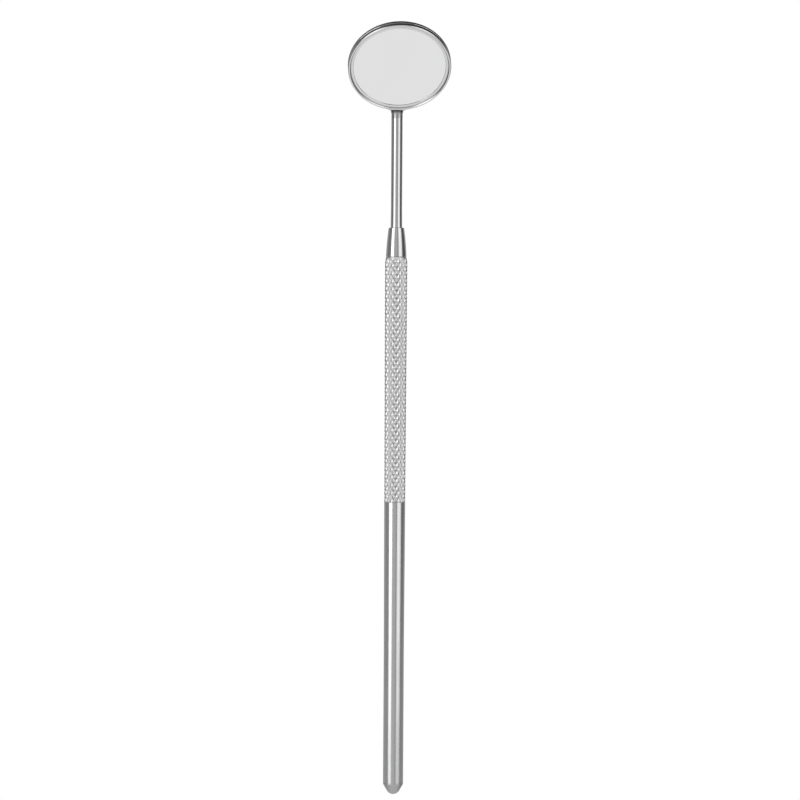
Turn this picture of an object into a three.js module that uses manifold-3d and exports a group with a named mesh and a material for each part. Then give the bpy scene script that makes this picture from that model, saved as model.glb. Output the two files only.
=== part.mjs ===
// A dental mouth mirror: a round framed mirror soldered to a thin stem, whose threaded end
// screws into the socket of a knurled bar handle. Millimetres, +Z up. The handle's axis is
// the Z axis, with the mirror at the top and facing -Y. The origin is the middle of the grip.
import * as THREE from 'three';
import { mergeVertices } from 'three/addons/utils/BufferGeometryUtils.js';
import Module from 'manifold-3d';

const wasm = await Module();
wasm.setup();

// Handle, along Z
const GRIP_LENGTH = 52.6;
const GRIP_TOP_RADIUS = 2.41;
const GRIP_FOOT_RADIUS = 2.25;
const SHANK_LENGTH = 60.6;
const SHANK_TAPER_LENGTH = 32;
const SHANK_RADIUS = 2.15;
const TIP_LENGTH = 2.2;
const TIP_CONE_ANGLE = THREE.MathUtils.degToRad(30);
const EDGE_CHAMFER = 0.15;
const SOCKET_RADIUS = 1.3;
const SOCKET_DEPTH = 7;
const DRILL_POINT = 0.75;

// Stem and its collar, along Z
const STEM_RADIUS = 1.2;
const THREAD_LENGTH = 5.9;
const STEM_SHOULDER_RADIUS = 1.235;
const STEM_FLARE_LENGTH = 4;
const COLLAR_LENGTH = 6.3;
const COLLAR_FOOT_RADIUS = 2.2;
const COLLAR_TOP_RADIUS = 1.66;
const COLLAR_BULGE = 0.08;
const STEM_SHOULDER_RISE = 0.3;
const STEM_TOP = 61.1;
const SEAT_GAP = 0.05;
const RUNNING_GAP = 0.06;

// Mirror head: its plane leans over the handle's axis by HEAD_TILT
const HEAD_TILT = THREE.MathUtils.degToRad(40);
const FACE_CENTRE = new THREE.Vector3(0, -8, 66.5);
const HEAD_RADIUS = 11;
const GLASS_RADIUS = 10.3;
const GLASS_THICKNESS = 1;
const FILM_THICKNESS = 0.03;
const PAD_THICKNESS = 0.12;
const SHEET = 0.25;
const FIT_GAP = 0.04;
const FILM_GAP = 0.01;
const WINDOW_RADIUS = 9.85;
const LIP_THICKNESS = 0.1;
const LIP_EDGE = 0.05;
const BEAD_HEIGHT = 0.5;
const BEAD_WIDTH = 0.5;
const SHOULDER_DEPTH = 0.5;
const CUP_CORNER = 0.35;

// Solder where the stem meets the cup
const SOLDER_HALF_WIDTH = 2.7;
const SOLDER_RISE = 0.7;
const SOLDER_REACH = 1.3;
const SOLDER_FOOT = 57.1;
const SOLDER_WIDEST = 58.2;
const SOLDER_TOP = 60;
const SOLDER_FEATHER = 0.05;
const SOLDER_SWELL = 0.24;
const SOLDER_SHOULDER = 0.6;

const ROUND = { handle: 48, collar: 48, stem: 36, head: 72, solder: 28 };

// Heights that follow from the sizes above
const gripTop = GRIP_LENGTH / 2;
const gripFoot = -GRIP_LENGTH / 2;
const tipShoulder = gripFoot - SHANK_LENGTH;
const tipEnd = tipShoulder - TIP_LENGTH;
const collarFoot = gripTop + SEAT_GAP;
const collarTop = collarFoot + COLLAR_LENGTH;

// Depths in the head, measured along its facing axis from the front of the reflective film
const filmBack = -FILM_THICKNESS;
const glassFront = filmBack - FILM_GAP;
const glassBack = glassFront - GLASS_THICKNESS;
const padFront = glassBack - FILM_GAP;
const padBack = padFront - PAD_THICKNESS;
const floorFront = padBack - FILM_GAP;
const floorBack = floorFront - SHEET;
const cupInner = GLASS_RADIUS + FIT_GAP;
const spigotOuter = cupInner + SHEET;
const bezelInner = spigotOuter + FIT_GAP;
const lipBack = FIT_GAP / 2;

function steel(color, roughness) {
  return new THREE.MeshStandardMaterial({ color, roughness, metalness: 1 });
}

// A point list as a solid of revolution about Z. Each point is [radius, height].
function turned(profile, segments) {
  const points = profile.map(([radius, height]) => new THREE.Vector2(radius, height));
  return new THREE.LatheGeometry(points, segments).rotateX(Math.PI / 2);
}

// The profile of a plain disc from one height to another
function disc(radius, from, to) {
  return [[0, from], [radius, from], [radius, to], [0, to]];
}

// Points of an arc in a profile, from one angle to another, in degrees
function arc(radius, height, size, from, to, steps) {
  return Array.from({ length: steps + 1 }, (_, i) => {
    const angle = THREE.MathUtils.degToRad(from + ((to - from) * i) / steps);
    return [radius + size * Math.cos(angle), height + size * Math.sin(angle)];
  });
}

function toSolid(geometry) {
  const bare = geometry.clone();
  bare.deleteAttribute('normal');
  bare.deleteAttribute('uv');
  const merged = mergeVertices(bare, 1e-5);
  return new wasm.Manifold(new wasm.Mesh({
    numProp: 3,
    vertProperties: new Float32Array(merged.attributes.position.array),
    triVerts: new Uint32Array(merged.index.array),
  }));
}

function toGeometry(solid) {
  const mesh = solid.getMesh();
  const geometry = new THREE.BufferGeometry();
  geometry.setAttribute('position', new THREE.BufferAttribute(mesh.vertProperties, 3));
  geometry.setIndex(new THREE.BufferAttribute(mesh.triVerts, 1));
  geometry.computeVertexNormals();
  return geometry;
}

function piece(name, geometry, material) {
  const mesh = new THREE.Mesh(geometry, material);
  mesh.name = name;
  return mesh;
}

// The tip's nose is a dome that runs into the cone where their slopes agree
function tipProfile() {
  const coneSlope = Math.tan(TIP_CONE_ANGLE);
  const rise = 1 - Math.sin(TIP_CONE_ANGLE);
  const noseRadius =
    (SHANK_RADIUS - TIP_LENGTH * coneSlope) / (Math.cos(TIP_CONE_ANGLE) - rise * coneSlope);
  const start = -90;
  const end = -THREE.MathUtils.radToDeg(TIP_CONE_ANGLE);
  return arc(0, tipEnd + noseRadius, noseRadius, start, end, 8);
}

function handle() {
  const profile = [
    ...tipProfile(),
    [SHANK_RADIUS, tipShoulder],
    [SHANK_RADIUS, gripFoot - SHANK_TAPER_LENGTH],
    [GRIP_FOOT_RADIUS, gripFoot],
    [GRIP_TOP_RADIUS, gripTop - EDGE_CHAMFER],
    [GRIP_TOP_RADIUS - EDGE_CHAMFER, gripTop],
    [SOCKET_RADIUS, gripTop],
    [SOCKET_RADIUS, gripTop - SOCKET_DEPTH],
    [0, gripTop - SOCKET_DEPTH - DRILL_POINT],
  ];
  profile[0][0] = 0;
  return piece('handle', turned(profile, ROUND.handle), steel(0xc9cacc, 0.24));
}

// The collar is a sleeve on the stem: a cone with slightly swollen sides
function collar() {
  const steps = 8;
  const side = Array.from({ length: steps + 1 }, (_, i) => {
    const t = i / steps;
    const straight = THREE.MathUtils.lerp(COLLAR_FOOT_RADIUS, COLLAR_TOP_RADIUS, t);
    return [straight + COLLAR_BULGE * Math.sin(Math.PI * t), collarFoot + COLLAR_LENGTH * t];
  });
  const bore = STEM_RADIUS + RUNNING_GAP;
  const profile = [[bore, collarFoot], ...side, [bore, collarTop], [bore, collarFoot]];
  return piece('cone_collar', turned(profile, ROUND.collar), steel(0xc6c7c9, 0.22));
}

// The head's frame of axes: its own +Z is the way the mirror faces, its +Y is up the face
function headGroup() {
  const group = new THREE.Group();
  group.rotation.x = Math.PI / 2 + HEAD_TILT;
  group.position.copy(FACE_CENTRE);
  group.updateMatrixWorld(true);
  return group;
}

function mirrorFilm() {
  const mirror = new THREE.MeshStandardMaterial({ color: 0xe6e7e8, roughness: 0.02, metalness: 1 });
  return piece('mirror_film', turned(disc(GLASS_RADIUS, filmBack, 0), ROUND.head), mirror);
}

function mirrorGlass() {
  const glass = new THREE.MeshStandardMaterial({ color: 0xdfe8e4, roughness: 0.05, metalness: 0 });
  return piece('mirror_glass', turned(disc(GLASS_RADIUS, glassBack, glassFront), ROUND.head), glass);
}

function backingPad() {
  const pad = new THREE.MeshStandardMaterial({ color: 0x8c8f92, roughness: 0.8, metalness: 0 });
  return piece('backing_pad', turned(disc(GLASS_RADIUS, padBack, padFront), ROUND.head), pad);
}

// The cup has a rounded back edge and a step on which the bezel seats
function backCup() {
  const profile = [
    [0, floorBack],
    ...arc(HEAD_RADIUS - CUP_CORNER, floorBack + CUP_CORNER, CUP_CORNER, -90, 0, 4),
    [HEAD_RADIUS, -SHOULDER_DEPTH - FIT_GAP],
    [spigotOuter, -SHOULDER_DEPTH - FIT_GAP],
    [spigotOuter, -FIT_GAP],
    [cupInner, -FIT_GAP],
    [cupInner, floorFront],
    [0, floorFront],
  ];
  return piece('back_cup', turned(profile, ROUND.head), steel(0xbfc0c2, 0.25));
}

// The bezel's lip laps the glass, and its rolled bead stands proud at the outer edge
function bezelRing() {
  const beadSize = BEAD_WIDTH / 2;
  const beadCentre = HEAD_RADIUS - beadSize;
  const bead = arc(beadCentre, BEAD_HEIGHT - beadSize, beadSize, 0, 180, 8);
  const lipFront = lipBack + LIP_THICKNESS;
  const profile = [
    [WINDOW_RADIUS, lipBack],
    [bezelInner, lipBack],
    [bezelInner, -SHOULDER_DEPTH],
    [HEAD_RADIUS, -SHOULDER_DEPTH],
    ...bead,
    [HEAD_RADIUS - BEAD_WIDTH - LIP_EDGE, lipFront + LIP_EDGE],
    [WINDOW_RADIUS + LIP_EDGE, lipFront],
    [WINDOW_RADIUS, lipFront - LIP_EDGE],
    [WINDOW_RADIUS, lipBack],
  ];
  return piece('bezel_ring', turned(profile, ROUND.head), steel(0xd2d3d5, 0.15));
}

// A plain disc as large as the whole head with its clearance, in the object's own frame
function headEnvelope(group) {
  const radius = HEAD_RADIUS + FIT_GAP;
  const space = turned(disc(radius, floorBack - FIT_GAP, 2 * BEAD_HEIGHT), ROUND.head);
  return toSolid(space.applyMatrix4(group.matrixWorld));
}

// The stem's lower end carries the thread, and its top is shaped to the back of the cup
function stem(envelope) {
  const foot = gripTop - THREAD_LENGTH;
  const profile = [
    [0, foot],
    [STEM_RADIUS - EDGE_CHAMFER, foot],
    [STEM_RADIUS, foot + EDGE_CHAMFER],
    [STEM_RADIUS, collarTop],
    [STEM_SHOULDER_RADIUS, collarTop + STEM_SHOULDER_RISE],
    [STEM_RADIUS, collarTop + STEM_FLARE_LENGTH],
    ...arc(0, STEM_TOP - STEM_RADIUS, STEM_RADIUS, 0, 90, 6),
  ];
  profile[profile.length - 1][0] = 0;
  const rod = toSolid(turned(profile, ROUND.stem)).subtract(envelope);
  return piece('stem', toGeometry(rod), steel(0xc4c5c7, 0.2));
}

// Solder lies along the cup's lower edge on both sides of the stem. It also swells round the
// stem, and thins out to a feather edge above and below.
function solder(group, envelope) {
  const bead = new THREE.SphereGeometry(1, ROUND.solder, ROUND.solder / 2);
  bead.scale(SOLDER_HALF_WIDTH, SOLDER_RISE, SOLDER_REACH);
  bead.translate(0, -HEAD_RADIUS, (floorBack - SHOULDER_DEPTH) / 2);
  bead.applyMatrix4(group.matrixWorld);
  const inner = STEM_RADIUS + FIT_GAP;
  const thinned = inner + SOLDER_SWELL * SOLDER_SHOULDER;
  const swell = [
    [0, SOLDER_FOOT],
    [inner + SOLDER_FEATHER, SOLDER_FOOT],
    [thinned, (SOLDER_FOOT + SOLDER_WIDEST) / 2],
    [inner + SOLDER_SWELL, SOLDER_WIDEST],
    [thinned, (SOLDER_WIDEST + SOLDER_TOP) / 2],
    [inner + SOLDER_FEATHER, SOLDER_TOP],
    [0, SOLDER_TOP],
  ];
  const rod = turned(disc(inner, collarTop, STEM_TOP + STEM_RADIUS), ROUND.stem);
  const run = toSolid(bead).add(toSolid(turned(swell, ROUND.stem)));
  const body = run.subtract(toSolid(rod)).subtract(envelope);
  return piece('solder_joint', toGeometry(body), steel(0xa9aaac, 0.35));
}

const head = headGroup();
const envelope = headEnvelope(head);
head.add(mirrorFilm(), mirrorGlass(), backingPad(), backCup(), bezelRing());

const mouthMirror = new THREE.Group();
mouthMirror.add(handle(), collar(), stem(envelope), solder(head, envelope), head);

export default mouthMirror;
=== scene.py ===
"""A dental mouth mirror, modelled piece by piece over its CAD frame and lit on a pale stage."""

import math

import bpy
from bpy.props import FloatProperty, FloatVectorProperty, IntProperty, PointerProperty
from mathutils import Matrix, Vector


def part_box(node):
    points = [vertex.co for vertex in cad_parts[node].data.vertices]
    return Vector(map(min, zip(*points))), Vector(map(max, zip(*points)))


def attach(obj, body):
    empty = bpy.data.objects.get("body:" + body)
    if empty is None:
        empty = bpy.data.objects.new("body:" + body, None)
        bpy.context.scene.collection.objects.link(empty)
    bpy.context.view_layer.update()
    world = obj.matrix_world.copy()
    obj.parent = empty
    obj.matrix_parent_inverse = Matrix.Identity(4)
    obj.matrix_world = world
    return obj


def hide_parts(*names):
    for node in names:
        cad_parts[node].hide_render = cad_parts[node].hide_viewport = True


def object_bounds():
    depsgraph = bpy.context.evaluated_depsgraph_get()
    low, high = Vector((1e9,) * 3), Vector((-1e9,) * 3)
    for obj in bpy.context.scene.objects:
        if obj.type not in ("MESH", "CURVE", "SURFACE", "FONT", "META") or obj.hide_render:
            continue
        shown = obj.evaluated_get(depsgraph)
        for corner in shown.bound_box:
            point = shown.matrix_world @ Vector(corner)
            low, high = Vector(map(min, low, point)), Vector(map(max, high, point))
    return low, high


bl_info = {
    "name": "Mouth mirror",
    "version": (1, 0, 0),
    "blender": (4, 5, 0),
    "location": "3D View > Sidebar > Mouth mirror",
    "description": "Builds a dental mouth mirror, its finishes and its stage",
    "category": "Add Mesh",
}

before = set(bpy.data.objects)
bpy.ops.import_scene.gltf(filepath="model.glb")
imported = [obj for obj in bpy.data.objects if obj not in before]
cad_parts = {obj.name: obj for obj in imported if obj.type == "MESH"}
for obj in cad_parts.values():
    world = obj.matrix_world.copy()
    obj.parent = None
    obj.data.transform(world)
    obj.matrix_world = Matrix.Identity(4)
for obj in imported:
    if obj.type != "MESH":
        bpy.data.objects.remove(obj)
cad_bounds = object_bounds()

MM = 0.001
AXIS_X, AXIS_Z = Vector((1, 0, 0)), Vector((0, 0, 1))
MERGE = 0.0001 * MM

HANDLE_LOW, HANDLE_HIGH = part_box("handle")
COLLAR_LOW, COLLAR_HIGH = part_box("cone_collar")
STEM_LOW, STEM_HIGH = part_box("stem")
FILM_LOW, FILM_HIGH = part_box("mirror_film")
SOLDER_LOW, SOLDER_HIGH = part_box("solder_joint")


def length(name, description, millimetres):
    return FloatProperty(
        name=name, description=description, default=millimetres * MM, unit="LENGTH", precision=6
    )


def share(name, description, default):
    return FloatProperty(name=name, description=description, default=default, subtype="FACTOR")


def tint(name, description, grey):
    return FloatVectorProperty(
        name=name, description=description, default=(grey, grey, grey * 1.01), subtype="COLOR"
    )


# ---------------------------------------------------------------- sizes and colours


class HandleSizes(bpy.types.PropertyGroup):
    grip_length: length("Grip", "Length of the knurled grip", 52.6)
    grip_top: length("Grip top radius", "Radius over the knurl's crests at its top", 2.41)
    grip_foot: length("Grip foot radius", "Radius over the knurl's crests at its foot", 2.25)
    shank_radius: length("Shank radius", "Radius of the plain shank", 2.15)
    shank_taper: length("Shank taper", "Length over which the shank thins below the grip", 32.0)
    tip_length: length("Tip", "Length of the pointed tip", 2.2)
    tip_angle: FloatProperty(
        name="Tip angle",
        description="Slope of the tip's cone against the axis",
        default=math.radians(30),
        subtype="ANGLE",
    )
    mouth_drop: length("Top chamfer height", "Height of the chamfer at the grip's top", 1.0)
    mouth_inset: length("Top chamfer width", "Width of the chamfer at the grip's top", 0.2)
    socket_radius: length("Socket radius", "Radius of the threaded socket", 1.3)
    socket_depth: length("Socket depth", "Depth of the threaded socket", 7.0)


class KnurlSizes(bpy.types.PropertyGroup):
    starts: IntProperty(name="Starts", description="Diamonds around the grip", default=16)
    pitch: length("Pitch", "Height of one diamond", 1.682)
    depth: length("Depth", "Depth of the grooves between diamonds", 0.2)
    land: share("Land", "Size of a diamond's flat top against its foot", 0.26)


class StemSizes(bpy.types.PropertyGroup):
    radius: length("Stem radius", "Radius of the stem", 1.2)
    shoulder: length("Shoulder radius", "Radius of the stem where it leaves the collar", 1.235)
    flare: length("Flare", "Length over which the stem swells to the collar", 4.0)
    thread_crest: length("Thread crest", "Radius over the thread's crests", 1.23)
    thread_root: length("Thread root", "Radius in the thread's root", 0.98)
    thread_pitch: length("Thread pitch", "Pitch of the thread", 0.45)
    collar_foot: length("Collar foot radius", "Radius of the collar where it seats", 2.2)
    collar_top: length("Collar top radius", "Radius of the collar at its top", 1.66)
    collar_bulge: length("Collar bulge", "How far the collar's sides swell", 0.08)


class HeadSizes(bpy.types.PropertyGroup):
    tilt: FloatProperty(
        name="Tilt",
        description="Angle between the mirror's plane and the handle",
        default=math.radians(40),
        subtype="ANGLE",
    )
    radius: length("Radius", "Outer radius of the frame", 11.0)
    window: length("Window radius", "Radius of the glass that shows", 9.85)
    lip: length("Lip", "Thickness of the lip over the glass", 0.1)
    bead_height: length("Bead height", "How far the rolled bead stands above the film", 0.5)
    bead_width: length("Bead width", "Width of the rolled bead", 0.5)
    shoulder: length("Shoulder", "Depth of the seam between bezel and cup", 0.5)
    back: length("Back", "Depth of the cup's back face", 1.43)
    corner: length("Back corner", "Radius of the cup's rounded back edge", 0.35)


class SolderSizes(bpy.types.PropertyGroup):
    half_width: length("Half width", "How far the bead runs to each side of the stem", 2.7)
    rise: length("Rise", "How far the bead stands out from the cup's edge", 0.7)
    reach: length("Reach", "Half of the bead's size along the head's axis", 1.25)
    depth: length("Depth", "How far behind the film the bead is centred", 0.95)
    swell: length("Swell", "Thickness of the solder run round the stem", 0.2)
    film: length("Film", "Thickness of the run's thin ends", 0.04)
    grain: length("Grain", "Size of the mesh cells that the bead is smoothed with", 0.06)


class FinishColours(bpy.types.PropertyGroup):
    steel: tint("Steel", "Colour of the polished steel", 0.66)
    grip: tint("Grip", "Colour of the knurled steel", 0.72)
    # The groove colour is painted shade: it darkens the knurl's grooves, with patches that also
    # stand for grime, and the tip
    groove: tint("Groove", "Colour of the dirt-dulled knurl grooves", 0.36)
    solder: tint("Solder", "Colour of the solder", 0.36)
    film: tint("Mirror", "Colour of the reflective film", 0.79)
    glass: tint("Glass", "Colour of the glass", 0.85)
    pad: tint("Pad", "Colour of the backing pad", 0.3)


class StageSizes(bpy.types.PropertyGroup):
    distance: FloatProperty(
        name="Distance", description="Camera to handle", default=0.8, unit="LENGTH"
    )
    view_height: FloatProperty(
        name="View height",
        description="Height of the view over the object's plane",
        default=0.17204,
        unit="LENGTH",
    )
    eye_right: length("Camera right", "How far the camera stands to the right of the axis", 1.0)
    eye_drop: length("Camera drop", "How far the camera stands below the grip's middle", 4.35)
    roll: FloatProperty(
        name="Roll", description="Roll of the camera", default=math.radians(0.35), subtype="ANGLE"
    )
    turn: FloatProperty(
        name="Turn",
        description="How far the camera and its lights stand to the left of the mirror's front",
        default=math.radians(3.5),
        subtype="ANGLE",
    )
    floor_drop: FloatProperty(
        name="Floor", description="Depth of the floor below the tip", default=0.5, unit="LENGTH"
    )
    softbox_distance: FloatProperty(
        name="Softbox distance", description="Softbox to handle", default=1.2, unit="LENGTH"
    )
    softbox_height: FloatProperty(
        name="Softbox height", description="Height of both softboxes", default=1.6, unit="LENGTH"
    )
    softbox_drop: FloatProperty(
        name="Softbox drop",
        description="How far both softboxes reach below the grip's middle",
        default=0.2,
        unit="LENGTH",
    )


class MouthMirrorSettings(bpy.types.PropertyGroup):
    handle: PointerProperty(type=HandleSizes, name="Handle")
    knurl: PointerProperty(type=KnurlSizes, name="Knurl")
    stem: PointerProperty(type=StemSizes, name="Stem")
    head: PointerProperty(type=HeadSizes, name="Head")
    solder: PointerProperty(type=SolderSizes, name="Solder")
    finish: PointerProperty(type=FinishColours, name="Finish")
    stage: PointerProperty(type=StageSizes, name="Stage")


# ---------------------------------------------------------------- modelling helpers


def sizes(group):
    """One group of the sizes or colours that the sidebar holds."""
    return getattr(bpy.context.scene.mouth_mirror, group)


def start_clean():
    """Leave edit mode and select nothing, so that the next operator acts on its own object."""
    if bpy.context.mode != "OBJECT":
        bpy.ops.object.mode_set(mode="OBJECT")
    bpy.ops.object.select_all(action="DESELECT")


def only(piece):
    """Select one piece and make it active."""
    start_clean()
    piece.select_set(True)
    bpy.context.view_layer.objects.active = piece


def settle(piece):
    """Put a finished piece's place into its mesh."""
    only(piece)
    bpy.ops.object.transform_apply(location=True, rotation=True, scale=True)


def smooth(piece, degrees=35):
    """Shade a piece smooth, apart from edges sharper than an angle."""
    only(piece)
    bpy.ops.object.shade_smooth_by_angle(angle=math.radians(degrees))


class Lathe:
    """Turns profiles about an axis. A profile point is (radius, height), in metres."""

    def __init__(self, centre=(0, 0, 0), axis=AXIS_Z, out=AXIS_X):
        self.centre, self.axis, self.out = Vector(centre), Vector(axis), Vector(out)

    def place(self, point):
        radius, height = point
        return self.centre + radius * self.out + height * self.axis

    def turn(self, name, profile, steps=96):
        start_clean()
        points = [self.place(p) for p in profile]
        bpy.ops.mesh.primitive_plane_add(size=MM, location=points[0])
        piece = bpy.context.object
        piece.name = piece.data.name = name
        bpy.ops.object.mode_set(mode="EDIT")
        bpy.ops.mesh.merge(type="CENTER")
        for here, there in zip(points, points[1:]):
            bpy.ops.mesh.extrude_vertices_move(TRANSFORM_OT_translate={"value": there - here})
        bpy.ops.mesh.select_all(action="SELECT")
        bpy.ops.mesh.spin(
            steps=steps, angle=2 * math.pi, center=self.centre, axis=self.axis, use_auto_merge=True
        )
        bpy.ops.mesh.select_all(action="SELECT")
        bpy.ops.mesh.remove_doubles(threshold=MERGE)
        bpy.ops.mesh.normals_make_consistent(inside=False)
        bpy.ops.object.mode_set(mode="OBJECT")
        settle(piece)
        return piece


def arc(radius, height, size, start, end, steps=12):
    """Profile points of an arc about (radius, height), from one angle to another in degrees."""
    turns = [math.radians(start + (end - start) * i / steps) for i in range(steps + 1)]
    return [(radius + size * math.cos(t), height + size * math.sin(t)) for t in turns]


def combine(piece, other, operation):
    """Join, cut or trim a piece with another solid, which is used up."""
    only(piece)
    step = piece.modifiers.new(operation.title(), "BOOLEAN")
    step.operation, step.object, step.solver = operation, other, "EXACT"
    bpy.ops.object.modifier_apply(modifier=step.name)
    bpy.data.objects.remove(other, do_unlink=True)
    return piece


def trim(piece, height, keep_below):
    """Cut a piece off level at a height and close the cut."""
    only(piece)
    bpy.ops.object.mode_set(mode="EDIT")
    bpy.ops.mesh.select_all(action="SELECT")
    bpy.ops.mesh.bisect(
        plane_co=(0, 0, height),
        plane_no=(0, 0, 1),
        use_fill=True,
        clear_outer=keep_below,
        clear_inner=not keep_below,
        threshold=MERGE,
    )
    bpy.ops.object.mode_set(mode="OBJECT")


def close_up(piece):
    """Merge doubled points and face a piece's surface outwards."""
    only(piece)
    bpy.ops.object.mode_set(mode="EDIT")
    bpy.ops.mesh.select_all(action="SELECT")
    bpy.ops.mesh.remove_doubles(threshold=MERGE)
    bpy.ops.mesh.normals_make_consistent(inside=False)
    bpy.ops.object.mode_set(mode="OBJECT")


def finish_piece(piece, body, material, nodes):
    """Dress a new piece, set it on its body and let it stand for CAD nodes."""
    piece.data.materials.clear()
    piece.data.materials.append(material)
    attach(piece, body)
    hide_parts(*nodes)


def head_lathe():
    """The head's own axes: its height runs the way that the mirror faces."""
    tilt = sizes("head").tilt
    facing = Vector((0, -math.cos(tilt), -math.sin(tilt)))
    up_the_face = Vector((0, -math.sin(tilt), math.cos(tilt)))
    middle = (Vector(FILM_LOW) + Vector(FILM_HIGH)) / 2
    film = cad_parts["mirror_film"].data
    front = max((v.co - middle).dot(facing) for v in film.vertices)
    return Lathe(middle + front * facing, facing, up_the_face)


def head_cutter(clear):
    """A plain disc a little larger than the head, for shaping what is fastened to it."""
    head = sizes("head")
    back, rim = -head.back - clear, head.radius + clear
    return head_lathe().turn("cutter", [(0, back), (rim, back), (rim, MM), (0, MM)], 192)


# ---------------------------------------------------------------- shader helpers


class Value:
    """A number socket. Arithmetic on it adds Math nodes to its material."""

    def __init__(self, finish, socket):
        self.finish, self.socket = finish, socket

    def _math(self, operation, first, second=None):
        inputs = {0: first} if second is None else {0: first, 1: second}
        return self.finish.value("ShaderNodeMath", {"operation": operation}, inputs)

    def __add__(self, other):
        return self._math("ADD", self, other)

    def __sub__(self, other):
        return self._math("SUBTRACT", self, other)

    def __rsub__(self, other):
        return self._math("SUBTRACT", other, self)

    def __mul__(self, other):
        return self._math("MULTIPLY", self, other)

    def __truediv__(self, other):
        return self._math("DIVIDE", self, other)

    __radd__ = __add__
    __rmul__ = __mul__

    def root(self):
        return self._math("SQRT", self)

    def size(self):
        return self._math("ABSOLUTE", self)

    def over(self, low, high):
        """0 below low, 1 above high, and a smooth ramp between."""
        settings = {"interpolation_type": "SMOOTHSTEP"}
        inputs = {"Value": self, "From Min": low, "From Max": high}
        return self.finish.value("ShaderNodeMapRange", settings, inputs)


class NodeTree:
    """Adds nodes to a tree and links them."""

    def __init__(self, tree):
        self.tree = tree
        tree.nodes.clear()

    def node(self, kind, settings=None, inputs=None):
        node = self.tree.nodes.new(kind)
        for key, setting in (settings or {}).items():
            setattr(node, key, setting)
        for key, given in (inputs or {}).items():
            if isinstance(given, Value):
                self.tree.links.new(given.socket, node.inputs[key])
            elif isinstance(given, bpy.types.NodeSocket):
                self.tree.links.new(given, node.inputs[key])
            else:
                node.inputs[key].default_value = given
        return node

    def value(self, kind, settings=None, inputs=None, output=0):
        return Value(self, self.node(kind, settings, inputs).outputs[output])

    def mix(self, factor, first, second):
        """A colour between two colours."""
        mixer = self.node("ShaderNodeMix", {"data_type": "RGBA"}, {"Factor": factor})
        for socket, colour in zip(("A", "B"), (first, second)):
            end = next(s for s in mixer.inputs if s.name == socket and s.type == "RGBA")
            if isinstance(colour, bpy.types.NodeSocket):
                self.tree.links.new(colour, end)
            else:
                end.default_value = (*colour, 1)
        return next(s for s in mixer.outputs if s.type == "RGBA")


class Finish(NodeTree):
    """A procedural material on one Principled shader."""

    def __init__(self, name):
        self.material = bpy.data.materials.new(name)
        self.material.use_nodes = True
        super().__init__(self.material.node_tree)
        self.shader = self.node("ShaderNodeBsdfPrincipled")
        output = self.node("ShaderNodeOutputMaterial")
        self.tree.links.new(self.shader.outputs["BSDF"], output.inputs["Surface"])
        self.place = self.node("ShaderNodeTexCoord").outputs["Object"]

    def set(self, **inputs):
        for key, given in inputs.items():
            socket = self.shader.inputs[key.replace("_", " ")]
            if isinstance(given, Value):
                self.tree.links.new(given.socket, socket)
            elif isinstance(given, bpy.types.NodeSocket):
                self.tree.links.new(given, socket)
            else:
                socket.default_value = given

    def mapped(self, scale, turn=(0, 0, 0), middle=(0, 0, 0)):
        """Object coordinates, centred, turned and stretched."""
        moved = self.node(
            "ShaderNodeVectorMath",
            {"operation": "SUBTRACT"},
            {0: self.place, 1: middle},
        ).outputs[0]
        return self.node(
            "ShaderNodeMapping",
            {"vector_type": "POINT"},
            {"Vector": moved, "Rotation": turn, "Scale": scale},
        ).outputs[0]

    def noise(self, scale, detail=3.0, turn=(0, 0, 0), middle=(0, 0, 0), roughness=0.55):
        vector = self.mapped(scale, turn, middle)
        inputs = {"Vector": vector, "Scale": 1.0, "Detail": detail, "Roughness": roughness}
        return self.value("ShaderNodeTexNoise", None, inputs)

    def axes(self, middle=(0, 0, 0), turn=(0, 0, 0)):
        """The three object coordinates as values."""
        split = self.node("ShaderNodeSeparateXYZ", None, {0: self.mapped((1, 1, 1), turn, middle)})
        return [Value(self, out) for out in split.outputs]

    def bump(self, height, distance, strength=1.0):
        inputs = {"Height": height, "Distance": distance, "Strength": strength}
        return self.node("ShaderNodeBump", None, inputs).outputs[0]


# ---------------------------------------------------------------- finishes

MARK_DEPTH = 0.004 * MM
SCRATCH_DEPTH = -0.2


def shaded(colour, level):
    """A darker or lighter copy of a colour."""
    return [channel * level for channel in colour]


def head_turn():
    """Turns object coordinates so that their Z runs along the head's axis."""
    return (-(math.pi / 2 + sizes("head").tilt), 0, 0)


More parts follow.
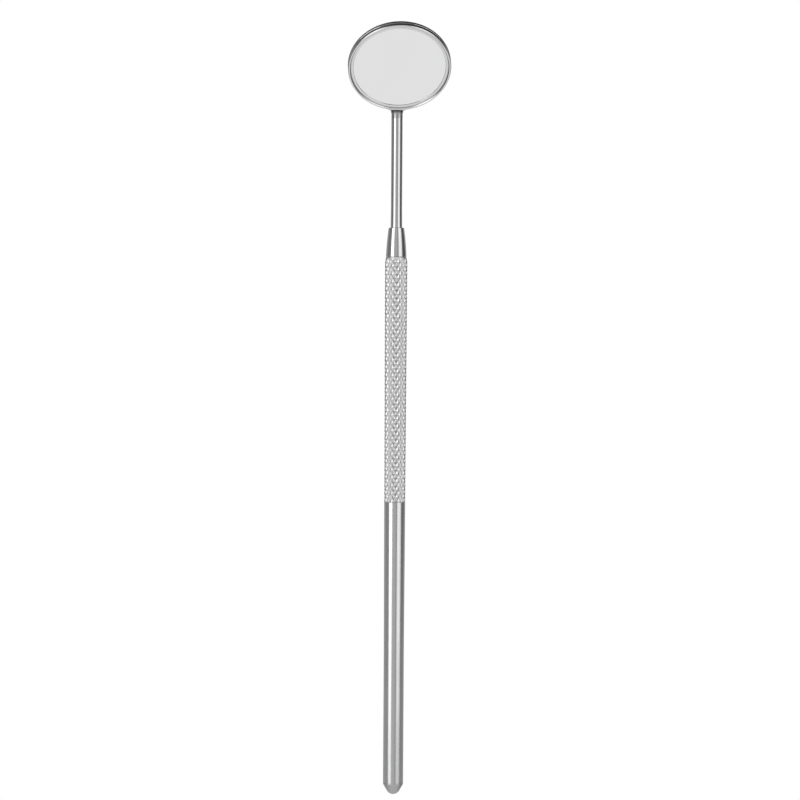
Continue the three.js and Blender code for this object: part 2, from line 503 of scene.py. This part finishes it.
def lathe_marked(
    name,
    colour,
    roughness,
    marks,
    middle=(0, 0, 0),
    turn=(0, 0, 0),
    shade_corner=None,
    shade_height=None,
    brushed=None,
):
    """Polished steel with fine turning marks about an axis, faint smears and scratches.

    A shade corner is the (radius, height) of a corner that is darkened with painted shade. Above
    the shade height the steel is painted darker in blotches, a painted shade, and is rougher.
    Below the height of a brushed face it is left with coarser marks.
    """
    finish = Finish(name)
    x, y, z = finish.axes(middle, turn)
    reach = (x * x + y * y).root()
    rings = turning_marks(finish, reach, z)
    smears, scratch = handling_wear(finish, 90)
    shade = shaded(colour, 0.3)
    wear_and_shade = finish.mix((smears.over(0.35, 0.75) * 0.5).socket, colour, shaded(colour, 0.9))
    # Painted shade darkens the steel around the shade corner
    if shade_corner:
        across, down = reach - shade_corner[0], z - shade_corner[1]
        grime_and_shade = 1 - (across * across + down * down).root().over(0.04 * MM, 0.2 * MM)
        wear_and_shade = finish.mix((grime_and_shade * 0.6).socket, wear_and_shade, shade)
    dulled = 0.0
    if shade_height:
        # Painted shade: above the shade height the steel is darkened in blotches, for dimmer
        # reflections where the stem turns toward the cup
        blotches = finish.noise((900, 900, 900), 2.0)
        wander, fade = 2.5 * MM, 0.5 * MM
        dulled = (z + (blotches - 0.5) * wander).over(shade_height - fade, shade_height + fade)
        wear_and_shade = finish.mix((dulled * (0.3 + blotches * 0.5)).socket, wear_and_shade, shade)
    coarse = 0.0
    if brushed:
        fade = 0.03 * MM
        coarse = 1 - z.over(brushed - fade, brushed + fade)
    uneven = (smears - 0.5) * 0.09 + (rings - 0.5) * 0.1 + scratch * 0.12
    finish.set(
        Base_Color=wear_and_shade,
        Metallic=1.0,
        Roughness=roughness + uneven + dulled * 0.2 + coarse * 0.4,
        Normal=finish.bump(rings * (marks + coarse * 2) + scratch * SCRATCH_DEPTH, MARK_DEPTH),
    )
    return finish.material


def turning_marks(finish, reach, z):
    """Fine marks that change fast along a turned surface and not around it."""
    lines_per_metre = 9000.0
    across = {"X": reach * lines_per_metre, "Y": z * lines_per_metre, "Z": 0.0}
    vector = finish.node("ShaderNodeCombineXYZ", None, across).outputs[0]
    inputs = {"Vector": vector, "Scale": 1.0, "Detail": 4.0, "Roughness": 0.7}
    return finish.value("ShaderNodeTexNoise", {"noise_dimensions": "2D"}, inputs)


def handling_wear(finish, upright):
    """Smears, and hairline scratches that lie along the handle where it is smeared most."""
    smears = finish.noise((160, 160, upright), 4.0)
    hairs = finish.noise((2600, 2600, 120), 2.0, roughness=0.8)
    return smears, hairs.over(0.66, 0.72) * smears.over(0.45, 0.6)


def knurled_steel():
    """Bright crests, with duller steel and painted shade down in the grooves that also stands for
    grime.
    """
    colours, handle, knurl = sizes("finish"), sizes("handle"), sizes("knurl")
    finish = Finish("knurled_steel")
    x, y, z = finish.axes()
    half = handle.grip_length / 2
    slope = (handle.grip_top - handle.grip_foot) / handle.grip_length
    middle = (handle.grip_top + handle.grip_foot) / 2
    below = z * slope + middle - (x * x + y * y).root()
    in_grip = (z + half).over(0, 0.05 * MM)
    groove = below.over(0.15 * knurl.depth, 0.95 * knurl.depth) * in_grip
    rings = turning_marks(finish, below, z)
    smears, scratch = handling_wear(finish, 70)
    # Painted shade down in the grooves, in patches that also stand for grime
    grime_and_shade = groove * finish.noise((900, 900, 900), 3.0).over(0.3, 0.6)
    smeared = (smears.over(0.35, 0.75) * 0.5).socket
    steel = finish.mix(smeared, colours.steel, shaded(colours.steel, 0.9))
    neck = HANDLE_LOW[2] + handle.tip_length
    # The tip is painted darker with the groove colour, a painted shade, and is made rougher as a
    # ground finish
    tip = (neck - z).over(-0.5 * MM, 0.3 * MM)
    ground = finish.mix((tip * 0.9).socket, steel, colours.groove)
    gripped = finish.mix(in_grip.socket, ground, colours.grip)
    uneven = (smears - 0.5) * 0.1 + (rings - 0.5) * 0.1 + scratch * 0.12
    finish.set(
        Base_Color=finish.mix((groove * 0.1 + grime_and_shade * 0.25).socket, gripped, colours.groove),
        Metallic=1.0,
        Roughness=0.2 + uneven + tip * 0.18 + in_grip * 0.14 + groove * 0.15,
        Normal=finish.bump(rings * 0.5 + scratch * SCRATCH_DEPTH, MARK_DEPTH),
    )
    return finish.material


def solder_metal():
    """Hand-run solder: dull, with small ripples and pits, and painted shade along the cup's edge.
    """
    finish = Finish("solder_metal")
    lathe = head_lathe()
    edge = (lathe.centre - sizes("head").radius * lathe.out).z
    _, _, z = finish.axes()
    # Painted shade darkens the solder where it meets the cup's edge
    crevice_shade = 1 - (z - edge).size().over(0.35 * MM, 0.8 * MM)
    ripples = finish.noise((1500, 1500, 1500), 3.0)
    pits = finish.noise((4200, 4200, 4200), 2.0).over(0.62, 0.74)
    colour = sizes("finish").solder
    pitted = finish.mix((pits * 0.6 + ripples * 0.25).socket, colour, shaded(colour, 0.45))
    finish.set(
        Base_Color=finish.mix((crevice_shade * 0.9).socket, pitted, shaded(colour, 0.15)),
        Metallic=1.0,
        Roughness=0.24 + ripples * 0.22 + pits * 0.2,
        Normal=finish.bump(ripples - pits * 0.8, 0.05 * MM),
    )
    return finish.material


def mirror_finish():
    """A front-surface mirror, wiped clean, with a trace of film and dust."""
    finish = Finish("mirror_finish")
    wipes = finish.noise((220, 70, 70), 4.0)
    dust = finish.noise((5200, 5200, 5200), 1.0).over(0.74, 0.8)
    colour = sizes("finish").film
    dimmed = (wipes.over(0.4, 0.9) * 0.2 + dust * 0.25).socket
    finish.set(
        Base_Color=finish.mix(dimmed, colour, shaded(colour, 0.94)),
        Metallic=1.0,
        Roughness=0.015 + wipes.over(0.5, 0.9) * 0.03 + dust * 0.2,
    )
    return finish.material


def clear_glass():
    """Glass, ground a little rough at its edge and back."""
    finish = Finish("clear_glass")
    ground = finish.noise((3000, 3000, 3000), 2.0)
    colour = sizes("finish").glass
    finish.set(
        Base_Color=finish.mix((ground * 0.3).socket, colour, shaded(colour, 0.9)),
        Roughness=0.06 + ground * 0.1,
        IOR=1.5,
        Transmission_Weight=0.85,
    )
    return finish.material


def pressed_pad():
    """Pressed fibre board."""
    finish = Finish("pressed_pad")
    fibres = finish.noise((3500, 3500, 3500), 4.0)
    colour = sizes("finish").pad
    finish.set(
        Base_Color=finish.mix(fibres.socket, shaded(colour, 0.7), shaded(colour, 1.2)),
        Roughness=0.75 + fibres * 0.2,
        Normal=finish.bump(fibres, 0.02 * MM),
    )
    return finish.material


# ---------------------------------------------------------------- pieces


def tip_profile(handle):
    """The tip's nose is a dome that runs into the cone where their slopes agree."""
    low, angle = HANDLE_LOW[2], handle.tip_angle
    slope, rise = math.tan(angle), 1 - math.sin(angle)
    nose = (handle.shank_radius - handle.tip_length * slope) / (math.cos(angle) - rise * slope)
    profile = arc(0, low + nose, nose, -90, -math.degrees(angle))
    profile[0] = (0, low)
    return profile


def knurl_blank(handle, knurl):
    """A knurled tube: one diamond is raised from a plane, then repeated round and along."""
    step = math.pi / knurl.starts
    crest = (handle.grip_top + handle.grip_foot) / 2
    root = crest - knurl.depth
    reach = handle.grip_length / 2 + 2 * knurl.pitch
    rows = 2 * round(2 * reach / knurl.pitch)
    start_clean()
    bpy.ops.mesh.primitive_plane_add(size=1, location=(root, 0, 0), rotation=(0, math.pi / 2, 0))
    piece = bpy.context.object
    piece.name = piece.data.name = "knurl"
    settle(piece)
    bpy.ops.object.mode_set(mode="EDIT")
    bpy.ops.mesh.select_all(action="SELECT")
    centre = (root, 0, 0)
    bpy.ops.transform.rotate(value=math.pi / 4, orient_axis="X", center_override=centre)
    across, tall = 2 * root * math.sin(step), knurl.pitch
    diagonal = math.sqrt(2)
    diamond = (1, across / diagonal, tall / diagonal)
    bpy.ops.transform.resize(value=diamond, center_override=centre)
    bpy.ops.mesh.inset(thickness=0, depth=0)
    bpy.ops.transform.resize(value=(1, knurl.land, knurl.land), center_override=centre)
    bpy.ops.transform.translate(value=(knurl.depth, 0, 0))
    bpy.ops.object.mode_set(mode="OBJECT")
    select_where(piece, lambda v: abs(v.co.y) > 0.4 * across)
    bpy.ops.object.mode_set(mode="EDIT")
    bpy.ops.transform.translate(value=(-root * (1 - math.cos(step)), 0, 0))
    bpy.ops.object.mode_set(mode="OBJECT")
    repeat(piece, knurl.starts, Matrix.Rotation(2 * step, 4, "Z"))
    climb = Matrix.Translation((0, 0, knurl.pitch / 2)) @ Matrix.Rotation(step, 4, "Z")
    repeat(piece, rows, climb)
    only(piece)
    piece.location.z = -rows * knurl.pitch / 4
    settle(piece)
    taper(piece, (handle.grip_top - handle.grip_foot) / handle.grip_length / crest)
    return piece


def knurl_die(handle, knurl, foot, top):
    """The knurl with a wide skirt below it, so that cutting with it leaves the shank plain."""
    die = knurl_blank(handle, knurl)
    overlap, flare = 0.6 * MM, 1.6
    trim(die, top + overlap, keep_below=True)
    trim(die, foot, keep_below=False)
    close_up(die)
    select_where(die, lambda v: abs(v.co.z - foot) < MERGE)
    bpy.ops.object.mode_set(mode="EDIT")
    bpy.ops.mesh.extrude_region_move(TRANSFORM_OT_translate={"value": (0, 0, 0)})
    bpy.ops.transform.resize(value=(flare, flare, 1), center_override=(0, 0, foot))
    depth = foot - HANDLE_LOW[2] + MM
    bpy.ops.mesh.extrude_region_move(TRANSFORM_OT_translate={"value": (0, 0, -depth)})
    bpy.ops.object.mode_set(mode="OBJECT")
    close_up(die)
    return die


def select_where(piece, test):
    """Select a piece's vertices by their place."""
    for face in piece.data.polygons:
        face.select = False
    for edge in piece.data.edges:
        edge.select = False
    for vertex in piece.data.vertices:
        vertex.select = test(vertex)


def repeat(piece, count, step):
    """Copy a mesh over and over, each copy moved one step further, and merge the seams."""
    guide = bpy.data.objects.new("guide", None)
    bpy.context.collection.objects.link(guide)
    guide.matrix_world = step
    bpy.context.view_layer.update()
    only(piece)
    array = piece.modifiers.new("Repeat", "ARRAY")
    array.count = count
    array.use_relative_offset = False
    array.use_object_offset = True
    array.offset_object = guide
    bpy.ops.object.modifier_apply(modifier=array.name)
    bpy.data.objects.remove(guide)
    bpy.ops.object.mode_set(mode="EDIT")
    bpy.ops.mesh.select_all(action="SELECT")
    bpy.ops.mesh.remove_doubles(threshold=0.005 * MM)
    bpy.ops.object.mode_set(mode="OBJECT")


def taper(piece, per_metre):
    """Widen a piece evenly with height."""
    only(piece)
    heights = [v.co.z for v in piece.data.vertices]
    step = piece.modifiers.new("Taper", "SIMPLE_DEFORM")
    step.deform_method, step.deform_axis = "TAPER", "Z"
    step.factor = per_metre * (max(heights) - min(heights))
    bpy.ops.object.modifier_apply(modifier=step.name)


class MOUTHMIRROR_OT_handle(bpy.types.Operator):
    """Build the knurled bar handle with its pointed tip and threaded socket"""

    bl_idname = "mouth_mirror.handle"
    bl_label = "Handle"

    def execute(self, context):
        handle = sizes("handle")
        top, foot = HANDLE_HIGH[2], HANDLE_HIGH[2] - handle.grip_length
        neck = HANDLE_LOW[2] + handle.tip_length
        slope = (handle.grip_top - handle.grip_foot) / handle.grip_length
        face, bore = handle.grip_top - handle.mouth_inset, handle.socket_radius
        edge, lead, drill_point = 0.06 * MM, 0.15 * MM, 0.7 * MM
        ease, groove = 0.03 * MM, 0.07 * MM
        profile = [
            *tip_profile(handle),
            (handle.shank_radius - ease, neck - 0.05 * MM),
            (handle.shank_radius, neck + ease),
            (handle.shank_radius, foot - handle.shank_taper),
            (handle.grip_foot, foot - 0.1 * MM),
            (handle.grip_foot - groove, foot - 0.02 * MM),
            (handle.grip_foot, foot + 0.04 * MM),
            (handle.grip_top - slope * handle.mouth_drop, top - handle.mouth_drop),
            (face, top - edge),
            (face - edge, top),
            (bore + lead, top),
            (bore, top - lead),
            (bore, top - handle.socket_depth),
            (0, top - handle.socket_depth - drill_point),
        ]
        bar = Lathe().turn("handle_bar", profile)
        combine(bar, knurl_die(handle, sizes("knurl"), foot, top), "INTERSECT")
        smooth(bar, 20)
        finish_piece(bar, "handle", knurled_steel(), ["handle"])
        return {"FINISHED"}


class MOUTHMIRROR_OT_collar(bpy.types.Operator):
    """Build the tapered collar that seats on the handle"""

    bl_idname = "mouth_mirror.collar"
    bl_label = "Collar"

    def execute(self, context):
        stem = sizes("stem")
        low, high = COLLAR_LOW[2], COLLAR_HIGH[2]
        bore, edge, steps = stem.radius + 0.06 * MM, 0.07 * MM, 16
        side = []
        for i in range(steps + 1):
            t = i / steps
            radius = stem.collar_foot + (stem.collar_top - stem.collar_foot) * t
            height = low + edge + (high - low - 2 * edge) * t
            side.append((radius + stem.collar_bulge * math.sin(math.pi * t), height))
        profile = [
            (bore, low),
            (stem.collar_foot - edge, low),
            *side,
            (stem.collar_top - edge, high),
            (bore, high),
            (bore, low),
        ]
        piece = Lathe().turn("collar_sleeve", profile)
        smooth(piece)
        steel = lathe_marked("collar_steel", sizes("finish").steel, 0.12, 0.4)
        finish_piece(piece, "collar", steel, ["cone_collar"])
        return {"FINISHED"}


class MOUTHMIRROR_OT_stem(bpy.types.Operator):
    """Build the stem, shaped to the back of the cup, and its threaded end"""

    bl_idname = "mouth_mirror.stem"
    bl_label = "Stem"

    def execute(self, context):
        self.rod()
        self.thread()
        return {"FINISHED"}

    def rod(self):
        stem, lathe = sizes("stem"), Lathe()
        top, foot = STEM_HIGH[2], COLLAR_LOW[2]
        collar = COLLAR_HIGH[2]
        dome = arc(0, top - stem.radius, stem.radius, 0, 90)
        dome[-1] = (0, top)
        profile = [
            (0, foot),
            (stem.radius, foot),
            (stem.radius, collar),
            (stem.shoulder, collar + 0.3 * MM),
            (stem.radius, collar + stem.flare),
            *dome,
        ]
        piece = lathe.turn("stem_rod", profile, 64)
        combine(piece, head_cutter(0.04 * MM), "DIFFERENCE")
        smooth(piece)
        # The stem's top gets blotchy painted shade and is rougher
        shaded_length = 5 * MM
        steel = lathe_marked(
            "stem_steel", sizes("finish").steel, 0.1, 0.3, shade_height=top - shaded_length
        )
        finish_piece(piece, "mirror_head", steel, ["stem"])

    def thread(self):
        """A single-start thread, run a little long and then faced off and chamfered."""
        stem = sizes("stem")
        low, high = STEM_LOW[2], COLLAR_LOW[2]
        pitch, crest, root = stem.thread_pitch, stem.thread_crest, stem.thread_root
        turns = math.ceil((high - low) / pitch) + 2
        land, flat = 0.125, 0.06
        flank = [
            (root, 0),
            (root, land),
            (crest, 0.5 - flat),
            (crest, 0.5 + flat),
            (root, 1 - land),
            (root, 1),
        ]
        points = [Vector((radius, 0, low - pitch + t * pitch)) for radius, t in flank]
        start_clean()
        bpy.ops.mesh.primitive_plane_add(size=0.1 * MM, location=points[0])
        piece = bpy.context.object
        piece.name = piece.data.name = "stem_thread"
        bpy.ops.object.mode_set(mode="EDIT")
        bpy.ops.mesh.merge(type="CENTER")
        for here, there in zip(points, points[1:]):
            bpy.ops.mesh.extrude_vertices_move(TRANSFORM_OT_translate={"value": there - here})
        bpy.ops.object.mode_set(mode="OBJECT")
        settle(piece)
        helix = piece.modifiers.new("Helix", "SCREW")
        helix.screw_offset, helix.iterations = pitch, turns
        helix.steps = helix.render_steps = 48
        helix.use_merge_vertices = False
        bpy.ops.object.modifier_apply(modifier=helix.name)
        close_up(piece)
        trim(piece, high - 0.02 * MM, keep_below=True)
        trim(piece, low - pitch / 2, keep_below=False)
        close_up(piece)
        nose, wide = root - 0.02 * MM, crest + 0.05 * MM
        faced = [(0, low), (nose, low), (wide, low + crest - root), (wide, high), (0, high)]
        combine(piece, Lathe().turn("faced", faced, 48), "INTERSECT")
        smooth(piece, 25)
        steel = lathe_marked("thread_steel", sizes("finish").steel, 0.22, 0.2)
        finish_piece(piece, "mirror_head", steel, ["stem"])


class MOUTHMIRROR_OT_solder(bpy.types.Operator):
    """Build the solder that fastens the stem to the cup"""

    bl_idname = "mouth_mirror.solder"
    bl_label = "Solder"

    def execute(self, context):
        solder, stem = sizes("solder"), sizes("stem")
        piece = self.bead(solder)
        margin, widest = 0.1 * MM, SOLDER_LOW[2] + 1.2 * MM
        foot, top = SOLDER_LOW[2] + margin, SOLDER_HIGH[2] - margin
        film = stem.radius + solder.film
        run = [(0, foot), (film, foot)]
        for t in (-0.7, -0.4, 0, 0.3, 0.6):
            height = widest + t * (top - widest if t > 0 else widest - foot)
            run.append((film + solder.swell * (1 - abs(t)) ** 1.4, height))
        run += [(film, top), (0, top)]
        combine(piece, Lathe().turn("run", run, 48), "UNION")
        only(piece)
        skin = piece.modifiers.new("Skin", "REMESH")
        skin.mode, skin.voxel_size = "VOXEL", solder.grain
        bpy.ops.object.modifier_apply(modifier=skin.name)
        flow = piece.modifiers.new("Flow", "SMOOTH")
        flow.iterations, flow.factor = 8, 0.5
        bpy.ops.object.modifier_apply(modifier=flow.name)
        combine(piece, head_cutter(0.01 * MM), "DIFFERENCE")
        bore = [(0, foot - MM), (stem.radius, foot - MM), (stem.radius, top + MM), (0, top + MM)]
        combine(piece, Lathe().turn("bore", bore, 64), "DIFFERENCE")
        smooth(piece, 60)
        finish_piece(piece, "mirror_head", solder_metal(), ["solder_joint"])
        return {"FINISHED"}

    def bead(self, solder):
        """The bead along the cup's edge, from a stretched ball that is set in the head's axes."""
        lathe = head_lathe()
        start_clean()
        bpy.ops.mesh.primitive_uv_sphere_add(segments=48, ring_count=24, radius=1)
        piece = bpy.context.object
        piece.name = piece.data.name = "solder_bead"
        piece.scale = (solder.half_width, solder.rise, solder.reach)
        settle(piece)
        seat = lathe.centre - sizes("head").radius * lathe.out - solder.depth * lathe.axis
        turn = Matrix((AXIS_X, lathe.out, lathe.axis)).transposed().to_4x4()
        piece.matrix_world = Matrix.Translation(seat) @ turn
        settle(piece)
        return piece


class MOUTHMIRROR_OT_frame(bpy.types.Operator):
    """Build the cup and the bezel that hold the glass"""

    bl_idname = "mouth_mirror.frame"
    bl_label = "Frame"

    def execute(self, context):
        head = sizes("head")
        # Painted shade goes in the corner between the bezel's bead and its lip
        shade_corner = (head.radius - head.bead_width - 0.06 * MM, head.lip + 0.03 * MM)
        centre = tuple(head_lathe().centre)
        steel = lathe_marked(
            "pressed_steel",
            sizes("finish").steel,
            0.15,
            0.35,
            centre,
            head_turn(),
            shade_corner,
            brushed=-head.back + 0.1 * MM,
        )
        self.cup(steel)
        self.bezel(steel)
        return {"FINISHED"}

    def cup(self, steel):
        head = sizes("head")
        seam, rim = -head.shoulder - 0.02 * MM, -0.04 * MM
        edge, spigot, inner = 0.05 * MM, head.radius - 0.37 * MM, head.radius - 0.66 * MM
        floor = 0.25 * MM - head.back
        profile = [
            (0, -head.back),
            *arc(head.radius - head.corner, -head.back + head.corner, head.corner, -90, 0),
            (head.radius, seam - edge),
            (head.radius - edge, seam),
            (spigot, seam),
            (spigot, rim),
            (inner, rim),
            (inner, floor),
            (0, floor),
        ]
        piece = head_lathe().turn("cup_shell", profile, 192)
        smooth(piece)
        finish_piece(piece, "mirror_head", steel, ["back_cup"])

    def bezel(self, steel):
        head = sizes("head")
        bead, edge, fillet = head.bead_width / 2, 0.05 * MM, 0.09 * MM
        inner = head.radius - 0.33 * MM
        under, top = 0.02 * MM, 0.02 * MM + head.lip
        foot = head.radius - head.bead_width - fillet
        profile = [
            (head.window, under),
            (inner, under),
            (inner, -head.shoulder),
            (head.radius - edge, -head.shoulder),
            (head.radius, -head.shoulder + edge),
            *arc(head.radius - bead, head.bead_height - bead, bead, 0, 180, 20),
            *arc(foot, top + fillet, fillet, 0, -90, 6),
            (head.window + edge, top - edge / 5),
            (head.window, top - edge),
            (head.window, under),
        ]
        piece = head_lathe().turn("bezel_rim", profile, 192)
        smooth(piece)
        finish_piece(piece, "mirror_head", steel, ["bezel_ring"])


class MOUTHMIRROR_OT_glass(bpy.types.Operator):
    """Dress the glass, its reflective film and the pad behind it"""

    bl_idname = "mouth_mirror.glass"
    bl_label = "Glass"

    def execute(self, context):
        dress = {
            "mirror_film": mirror_finish,
            "mirror_glass": clear_glass,
            "backing_pad": pressed_pad,
        }
        for node, make in dress.items():
            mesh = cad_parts[node].data
            mesh.materials.clear()
            mesh.materials.append(make())
        return {"FINISHED"}


# ---------------------------------------------------------------- stage

FLOOR_SIZE = 4.6

# Each softbox's azimuth in degrees, its width in metres and its radiance
SOFTBOXES = {"softbox_left": (-45, 0.74, 1.2), "softbox_right": (51, 1.02, 0.66)}


def softbox(name, azimuth, width, radiance):
    """A tall softbox that faces the handle. Azimuth 0 is the camera's side, + to the right."""
    stage = sizes("stage")
    turn = math.radians(azimuth) - stage.turn
    light = bpy.data.lights.new(name, "AREA")
    light.shape, light.size, light.size_y = "RECTANGLE", width, stage.softbox_height
    light.energy = radiance * 4 * width * stage.softbox_height
    lamp = bpy.data.objects.new(name, light)
    bpy.context.collection.objects.link(lamp)
    away = Vector((math.sin(turn), -math.cos(turn), 0.0))
    lamp.location = away * stage.softbox_distance
    lamp.location.z = stage.softbox_height / 2 - stage.softbox_drop
    lamp.rotation_euler = away.to_track_quat("Z", "Y").to_euler()
    lamp.visible_camera = False


def studio_world():
    """White to the camera. Polished steel sees grey walls, dark cards at the sides and overhead."""
    world = bpy.data.worlds.new("studio")
    bpy.context.scene.world = world
    world.use_nodes = True
    tree = NodeTree(world.node_tree)
    direction = tree.node("ShaderNodeTexCoord").outputs["Generated"]
    turned = tree.node(
        "ShaderNodeMapping",
        {"vector_type": "POINT"},
        {"Vector": direction, "Rotation": (0, 0, sizes("stage").turn)},
    ).outputs[0]
    split = tree.node("ShaderNodeSeparateXYZ", None, {0: turned})
    x, y, z = [Value(tree, out) for out in split.outputs]
    left, front = x * -1, y * -1

    # Grey walls, dimmer behind the handle, with a gap in the light near the camera
    behind = y.over(0.2, 0.6)
    far_wall = y.over(0.8, 0.97) * 0.28
    gap = x.over(0.2, 0.3) * front.over(0.7, 0.85) * 0.2
    # Dark cards at both sides, which hang to a little below the camera's height
    hang = z.over(-0.07, -0.03) * 0.65 + 0.35
    right_card = x.over(0.76, 0.93) * hang * 0.42
    left_card = left.over(0.78, 0.93) * hang * (1 - behind * 0.5) * 0.3
    walls = 0.53 - behind * 0.08 - far_wall - right_card - left_card - gap
    # A bright bank overhead on the camera's side, and an unlit ceiling above and behind
    forward = front.over(-0.1, 0.2)
    upper = z.over(0.3, 0.5) * forward + z.over(0.1, 0.4) * (1 - forward)
    bank = forward * (1 - z.over(0.8, 0.9))
    ceiling = 0.05 + left.over(0.0, 0.6) * 0.1
    grey = walls * (1 - upper) + upper * (bank * 1.05 + (1 - bank) * ceiling)

    seen = tree.value("ShaderNodeLightPath")
    background = tree.node("ShaderNodeBackground", None, {"Strength": grey * (1 - seen) + seen})
    background.inputs["Color"].default_value = (1, 1, 1, 1)
    output = tree.node("ShaderNodeOutputWorld")
    tree.tree.links.new(background.outputs[0], output.inputs["Surface"])


def pale_floor():
    """White to the camera. Polished steel sees it pale underneath and unlit towards the sides."""
    start_clean()
    height = cad_bounds[0][2] - sizes("stage").floor_drop
    bpy.ops.mesh.primitive_plane_add(size=FLOOR_SIZE, location=(0, 0, height))
    floor = bpy.context.object
    floor.name = floor.data.name = "stage_floor"
    finish = Finish("pale_floor")
    x, y, _ = finish.axes()
    reach = (x * x + y * y).root()
    right = x / reach
    sides = right.over(0.55, 0.85) + (right * -1).over(0.6, 0.9)
    unlit = (reach.over(0.5, 0.9) * sides).socket
    glow = finish.mix(unlit, (0.6, 0.6, 0.6), (0.06, 0.06, 0.06))
    seen = finish.value("ShaderNodeLightPath").socket
    finish.set(
        Base_Color=finish.mix(unlit, (0.5, 0.5, 0.5), (0.15, 0.15, 0.15)),
        Roughness=0.9,
        Specular_IOR_Level=0.0,
        Emission_Color=finish.mix(seen, glow, (1, 1, 1)),
        Emission_Strength=1.12,
    )
    floor.data.materials.append(finish.material)


class MOUTHMIRROR_OT_stage(bpy.types.Operator):
    """Set up the camera, the soft light and the pale floor"""

    bl_idname = "mouth_mirror.stage"
    bl_label = "Stage"

    def execute(self, context):
        stage = sizes("stage")
        context.scene.view_settings.view_transform = "Standard"
        pale_floor()
        studio_world()
        for name, (azimuth, width, radiance) in SOFTBOXES.items():
            softbox(name, azimuth, width, radiance)
        camera = bpy.data.cameras.new("camera")
        camera.lens = camera.sensor_width * stage.distance / stage.view_height
        camera.clip_start = 0.01
        eye = bpy.data.objects.new("camera", camera)
        context.collection.objects.link(eye)
        turn = Matrix.Rotation(-stage.turn, 4, "Z")
        eye.location = turn @ Vector((stage.eye_right, -stage.distance, -stage.eye_drop))
        level = turn @ Matrix.Rotation(math.pi / 2, 4, "X") @ Matrix.Rotation(stage.roll, 4, "Z")
        eye.rotation_euler = level.to_euler()
        context.scene.camera = eye
        return {"FINISHED"}


# ---------------------------------------------------------------- add-on


OPERATORS = (
    MOUTHMIRROR_OT_stage,
    MOUTHMIRROR_OT_handle,
    MOUTHMIRROR_OT_collar,
    MOUTHMIRROR_OT_stem,
    MOUTHMIRROR_OT_solder,
    MOUTHMIRROR_OT_frame,
    MOUTHMIRROR_OT_glass,
)


class MOUTHMIRROR_PT_panel(bpy.types.Panel):
    """Lists the mouth mirror's pieces"""

    bl_idname = "MOUTHMIRROR_PT_panel"
    bl_label = "Mouth mirror"
    bl_space_type = "VIEW_3D"
    bl_region_type = "UI"
    bl_category = "Mouth mirror"

    def draw(self, context):
        for operator in OPERATORS:
            self.layout.operator(operator.bl_idname)


CLASSES = (
    HandleSizes,
    KnurlSizes,
    StemSizes,
    HeadSizes,
    SolderSizes,
    FinishColours,
    StageSizes,
    MouthMirrorSettings,
    *OPERATORS,
    MOUTHMIRROR_PT_panel,
)


def register():
    for cls in CLASSES:
        bpy.utils.register_class(cls)
    bpy.types.Scene.mouth_mirror = PointerProperty(type=MouthMirrorSettings)


def unregister():
    del bpy.types.Scene.mouth_mirror
    for cls in reversed(CLASSES):
        bpy.utils.unregister_class(cls)


def main():
    register()
    for operator in OPERATORS:
        family, name = operator.bl_idname.split(".")
        getattr(getattr(bpy.ops, family), name)()
    start_clean()


if __name__ == "__main__":
    main()
